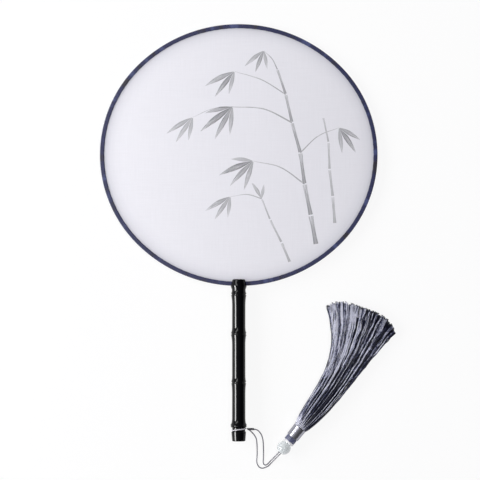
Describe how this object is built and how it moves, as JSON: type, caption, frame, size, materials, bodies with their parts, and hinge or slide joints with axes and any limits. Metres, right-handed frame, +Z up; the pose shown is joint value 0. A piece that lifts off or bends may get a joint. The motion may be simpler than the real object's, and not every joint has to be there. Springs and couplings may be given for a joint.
{
  "type": "round silk fan",
  "caption": "Round silk hand fan on a bent hoop with a ribbon rim, a black handle carved as bamboo, and a thread tassel on a cord with a bead.",
  "frame": {"origin": "on the surface that the fan lies on, below the middle of the fan's length and width, its cord and tassel left out", "axes": "+X to the right across the face, +Y from the handle towards the top of the rim, +Z up out of the face; the fan lies on its back and leans 1.3 degrees, on the rim's far edge and the handle's shoulder"},
  "size_m": [0.2823, 0.4266, 0.0187],
  "materials": {
    "bamboo": "satin",
    "silk": "satin",
    "ribbon": "satin",
    "lacquer": "gloss",
    "cord": "satin",
    "jade": "polished",
    "cup": "gloss",
    "thread": "satin",
    "sleeve": "gloss"
  },
  "bodies": {
    "fan": {"rim_hoop": "bamboo", "front_silk": "silk", "back_silk": "silk", "rim_binding": "ribbon", "handle": "lacquer", "fork_pins": "lacquer"},
    "cord_loop": {"cord_noose": "cord", "cord_knot": "cord", "inner_strand": "cord", "outer_strand": "cord"},
    "cord_lead": {"lead_inner": "cord", "lead_outer": "cord"},
    "tassel": {"core_cord": "cord", "stopper_knot": "cord", "bead_cup": "cup", "thread_head": "thread", "neck_winding": "thread", "metal_sleeve": "sleeve", "tassel_skirt": "thread"},
    "bead": {"jade_bead": "jade"}
  },
  "joints": [
    {"name": "cord_swivel", "type": "hinge", "parent": "fan", "child": "cord_loop", "pos_m": [0, -0.18848, 0.01084], "axis": [0, 0.9997, -0.0229], "continuous": true},
    {"name": "lead_swing", "type": "hinge", "parent": "cord_loop", "child": "cord_lead", "pos_m": [0.02805, -0.22318, 0.0006], "axis": [0, 0, 1], "range_deg": [-70, 20], "deforming": ["lead_inner", "lead_outer"]},
    {"name": "tassel_lift", "type": "hinge", "parent": "cord_lead", "child": "tassel", "pos_m": [0.03898, -0.21144, 0.0066], "axis": [0.7771, -0.6293, 0], "range_deg": [0, 60]},
    {"name": "bead_spin", "type": "hinge", "parent": "tassel", "child": "bead", "pos_m": [0.04325, -0.20618, 0.0066], "axis": [0.6293, 0.7771, 0], "continuous": true}
  ]
}
